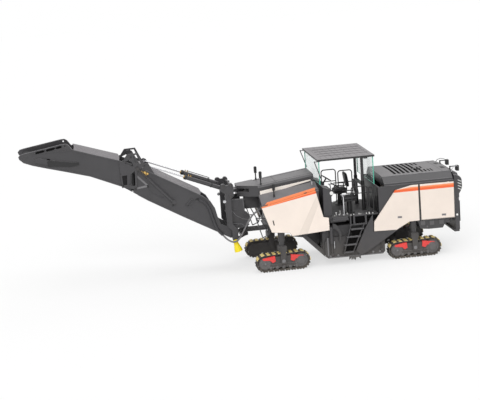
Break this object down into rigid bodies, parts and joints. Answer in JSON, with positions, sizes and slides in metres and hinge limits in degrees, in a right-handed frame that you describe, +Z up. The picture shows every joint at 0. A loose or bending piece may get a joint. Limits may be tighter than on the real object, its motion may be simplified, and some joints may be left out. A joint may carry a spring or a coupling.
{
  "type": "cold planer milling machine",
  "caption": "Tracked road milling machine with a cutting drum, operator platform under a canopy, engine body with lifting covers and a slewing, folding discharge conveyor",
  "frame": {"origin": "on the ground, below the middle of the whole machine's box", "axes": "+X to the front, towards the discharge conveyor, +Y to the machine's left, +Z up"},
  "size_m": [13.97, 2.55, 4.575],
  "materials": {
    "dark_paint": "anthracite grey machine paint",
    "cream_paint": "cream white machine paint",
    "black_paint": "black paint",
    "red_paint": "signal red paint",
    "track_steel": "dark track chain",
    "tool_steel": "worn tool steel",
    "belt_rubber": "conveyor belt rubber",
    "cover_sheet": "light grey cover",
    "rod_chrome": "hard chrome",
    "pane": "tinted safety glass",
    "seat_vinyl": "black seat cover",
    "hose_rubber": "grey hose",
    "yellow_plastic": "bright yellow"
  },
  "bodies": {
    "root": {"body_skirts": "dark_paint", "canopy_sleeves": "black_paint", "consoles": "dark_paint", "engine_block": "dark_paint", "front_hood": "dark_paint", "front_tank_left": "dark_paint", "front_tank_right": "dark_paint", "lamps": "black_paint", "leg_guides": "dark_paint", "main_frame": "dark_paint", "milling_housing": "dark_paint", "nose_fork": "dark_paint", "plate_cylinders": "dark_paint", "platform_floor": "dark_paint", "primary_conveyor": "dark_paint", "railings": "black_paint", "rear_body": "dark_paint", "rear_cap": "dark_paint", "seats": "seat_vinyl", "slew_hose": "hose_rubber", "steps": "dark_paint"},
    "drum": {"milling_drum": "tool_steel"},
    "track_front_left": {"track_chain_front_left": "track_steel", "track_frame_front_left": "dark_paint", "lifting_leg_front_left": "dark_paint"},
    "track_front_right": {"track_chain_front_right": "track_steel", "track_frame_front_right": "dark_paint", "lifting_leg_front_right": "dark_paint"},
    "track_rear_left": {"track_chain_rear_left": "track_steel", "track_frame_rear_left": "dark_paint", "lifting_leg_rear_left": "dark_paint"},
    "track_rear_right": {"track_chain_rear_right": "track_steel", "track_frame_rear_right": "dark_paint", "lifting_leg_rear_right": "dark_paint"},
    "edge_left": {"side_plate_left": "dark_paint"},
    "edge_right": {"side_plate_right": "dark_paint"},
    "front_flap_body_left": {"front_flap_left": "cream_paint"},
    "front_flap_body_right": {"front_flap_right": "cream_paint"},
    "mid_flap_body_left": {"mid_flap_left": "cream_paint"},
    "mid_flap_body_right": {"mid_flap_right": "cream_paint"},
    "rear_flap_body_left": {"rear_flap_left": "cream_paint"},
    "rear_flap_body_right": {"rear_flap_right": "cream_paint"},
    "hood": {"engine_hood": "dark_paint"},
    "roof": {"canopy": "dark_paint", "canopy_glass": "pane"},
    "slew": {"slew_frame": "dark_paint", "transfer_hopper": "dark_paint", "hanging_nozzle": "yellow_plastic"},
    "boom": {"conveyor_rear": "dark_paint", "belt_rear": "belt_rubber", "cover_rear": "cover_sheet", "conveyor_hose": "hose_rubber"},
    "boom_tip": {"conveyor_front": "dark_paint", "belt_front": "belt_rubber", "cover_front": "cover_sheet"},
    "lift_barrel_body": {"lift_barrels": "dark_paint"},
    "lift_rod_body": {"lift_rods": "rod_chrome"},
    "fold_barrel_body": {"fold_barrels": "dark_paint"},
    "fold_rod_body": {"fold_rods": "rod_chrome"}
  },
  "joints": [
    {"name": "drum_spin", "type": "hinge", "parent": "root", "child": "drum", "pos_m": [-3.34, 0, 0.53], "axis": [0, 1, 0], "continuous": true},
    {"name": "steer_front_left", "type": "hinge", "parent": "root", "child": "track_front_left", "pos_m": [-0.97, 1.075, 0.8], "axis": [0, 0, 1], "range_deg": [-25, 25]},
    {"name": "steer_front_right", "type": "hinge", "parent": "root", "child": "track_front_right", "pos_m": [-0.97, -1.075, 0.8], "axis": [0, 0, 1], "range_deg": [-25, 25]},
    {"name": "steer_rear_left", "type": "hinge", "parent": "root", "child": "track_rear_left", "pos_m": [-5.26, 1.075, 0.8], "axis": [0, 0, 1], "range_deg": [-18, 18]},
    {"name": "steer_rear_right", "type": "hinge", "parent": "root", "child": "track_rear_right", "pos_m": [-5.26, -1.075, 0.8], "axis": [0, 0, 1], "range_deg": [-18, 18]},
    {"name": "edge_slide_left", "type": "slide", "parent": "root", "child": "edge_left", "axis": [0, 0, 1], "range_m": [-0.13, 0.22]},
    {"name": "edge_slide_right", "type": "slide", "parent": "root", "child": "edge_right", "axis": [0, 0, 1], "range_m": [-0.13, 0.22]},
    {"name": "front_flap_hinge_left", "type": "hinge", "parent": "root", "child": "front_flap_body_left", "pos_m": [-0.37, 1.221, 2.135], "axis": [0.9784, 0, -0.2069], "range_deg": [0, 70]},
    {"name": "mid_flap_hinge_left", "type": "hinge", "parent": "root", "child": "mid_flap_body_left", "pos_m": [-5.335, 1.221, 2.375], "axis": [1, 0, 0], "range_deg": [0, 75]},
    {"name": "rear_flap_hinge_left", "type": "hinge", "parent": "root", "child": "rear_flap_body_left", "pos_m": [-6.055, 1.221, 2.375], "axis": [1, 0, 0], "range_deg": [0, 75]},
    {"name": "front_flap_hinge_right", "type": "hinge", "parent": "root", "child": "front_flap_body_right", "pos_m": [-0.37, -1.221, 2.135], "axis": [-0.9784, 0, 0.2069], "range_deg": [0, 70]},
    {"name": "mid_flap_hinge_right", "type": "hinge", "parent": "root", "child": "mid_flap_body_right", "pos_m": [-5.335, -1.221, 2.375], "axis": [-1, 0, 0], "range_deg": [0, 75]},
    {"name": "rear_flap_hinge_right", "type": "hinge", "parent": "root", "child": "rear_flap_body_right", "pos_m": [-6.055, -1.221, 2.375], "axis": [-1, 0, 0], "range_deg": [0, 75]},
    {"name": "hood_hinge", "type": "hinge", "parent": "root", "child": "hood", "pos_m": [-6.62, 0, 2.65], "axis": [0, -1, 0], "range_deg": [0, 50]},
    {"name": "roof_slide", "type": "slide", "parent": "root", "child": "roof", "axis": [0, 0, 1], "range_m": [-0.45, 0]},
    {"name": "slew_turn", "type": "hinge", "parent": "root", "child": "slew", "pos_m": [0.06, 0, 1.2], "axis": [0, 0, 1], "range_deg": [-60, 60], "deforming": ["slew_hose"]},
    {"name": "boom_lift", "type": "hinge", "parent": "slew", "child": "boom", "pos_m": [0.4, 0, 1.2], "axis": [0, -1, 0], "range_deg": [-20, 6]},
    {"name": "lift_barrel_turn", "type": "hinge", "parent": "slew", "child": "lift_barrel_body", "pos_m": [0.74, 0, 2.7], "axis": [0, -1, 0], "range_deg": [-30, 12]},
    {"name": "lift_rod_slide", "type": "slide", "parent": "lift_barrel_body", "child": "lift_rod_body", "axis": [0.924, 0, 0.3824], "range_m": [-0.2, 0.55]},
    {"name": "boom_fold", "type": "hinge", "parent": "boom", "child": "boom_tip", "pos_m": [3.53, 0, 3.98], "axis": [0, -1, 0], "range_deg": [0, 165]},
    {"name": "fold_barrel_turn", "type": "hinge", "parent": "boom", "child": "fold_barrel_body", "pos_m": [2.3, 0, 2.43], "axis": [0, -1, 0], "range_deg": [-2, 8]},
    {"name": "fold_rod_slide", "type": "slide", "parent": "fold_barrel_body", "child": "fold_rod_body", "axis": [0.6679, 0, 0.7442], "range_m": [-0.02, 0.9]}
  ],
  "couplings": [
    {"joint": "steer_front_right", "follows": "steer_front_left", "ratio": 1},
    {"joint": "steer_rear_right", "follows": "steer_rear_left", "ratio": 1},
    {"joint": "lift_barrel_turn", "follows": "boom_lift", "ratio": 1.2176},
    {"joint": "lift_rod_slide", "follows": "boom_lift", "m_per_rad": -1.4088},
    {"joint": "fold_barrel_turn", "follows": "boom_fold", "ratio": 0.01901},
    {"joint": "fold_rod_slide", "follows": "boom_fold", "m_per_rad": 0.28716}
  ]
}
